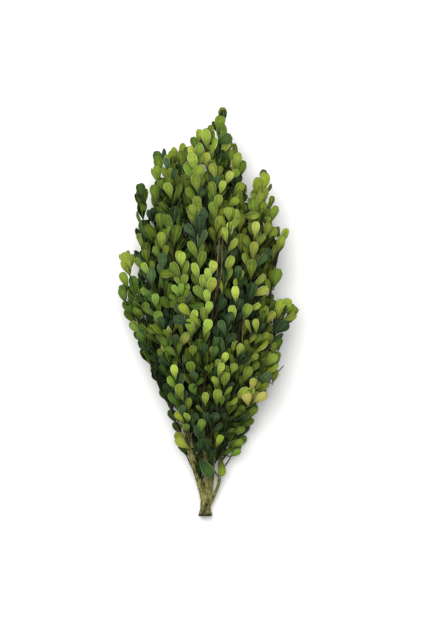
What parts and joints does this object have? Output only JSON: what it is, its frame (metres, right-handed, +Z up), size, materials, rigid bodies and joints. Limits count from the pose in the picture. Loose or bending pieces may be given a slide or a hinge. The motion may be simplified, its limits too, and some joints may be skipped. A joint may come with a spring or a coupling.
{
  "type": "preserved boxwood branch",
  "caption": "Cut branch of preserved boxwood lying flat: forked woody stems from a flared cut end, with dense sprays of small obovate leaves.",
  "frame": {"origin": "middle of the laid branch's footprint, on the surface it lies on", "axes": "+Y from the cut end towards the leafy tips, +X to the right seen from above with the tips away, +Z up from the surface"},
  "size_m": [0.1926, 0.4516, 0.1056],
  "materials": {
    "bark": "matte bark",
    "leaf": "satin"
  },
  "bodies": {
    "root": {"back_left_spray_1": "leaf", "back_left_spray_2": "leaf", "back_left_spray_3": "leaf", "back_left_spray_4": "leaf", "back_left_spray_5": "leaf", "back_right_spray_1": "leaf", "back_right_spray_2": "leaf", "back_right_spray_3": "leaf", "back_right_spray_4": "leaf", "back_right_spray_5": "leaf", "back_right_spray_6": "leaf", "back_spray_1": "leaf", "back_spray_2": "leaf", "back_spray_3": "leaf", "back_spray_4": "leaf", "back_spray_5": "leaf", "back_spray_6": "leaf", "back_spray_7": "leaf", "centre_spray_1": "leaf", "centre_spray_2": "leaf", "centre_spray_3": "leaf", "centre_spray_4": "leaf", "centre_spray_5": "leaf", "front_left_spray_1": "leaf", "front_left_spray_2": "leaf", "front_left_spray_3": "leaf", "front_left_spray_4": "leaf", "front_left_spray_5": "leaf", "front_left_spray_6": "leaf", "front_right_spray_1": "leaf", "front_right_spray_2": "leaf", "front_right_spray_3": "leaf", "front_right_spray_4": "leaf", "front_right_spray_5": "leaf", "front_right_spray_6": "leaf", "front_spray_1": "leaf", "front_spray_2": "leaf", "front_spray_3": "leaf", "front_spray_4": "leaf", "front_spray_5": "leaf", "front_spray_6": "leaf", "front_spray_7": "leaf", "front_spray_8": "leaf", "left_spray_1": "leaf", "left_spray_2": "leaf", "left_spray_3": "leaf", "left_spray_4": "leaf", "left_spray_5": "leaf", "left_spray_6": "leaf", "left_spray_7": "leaf", "left_spray_8": "leaf", "right_spray_1": "leaf", "right_spray_2": "leaf", "right_spray_3": "leaf", "right_spray_4": "leaf", "right_spray_5": "leaf", "right_spray_6": "leaf", "woody_branch": "bark"}
  },
  "joints": []
}
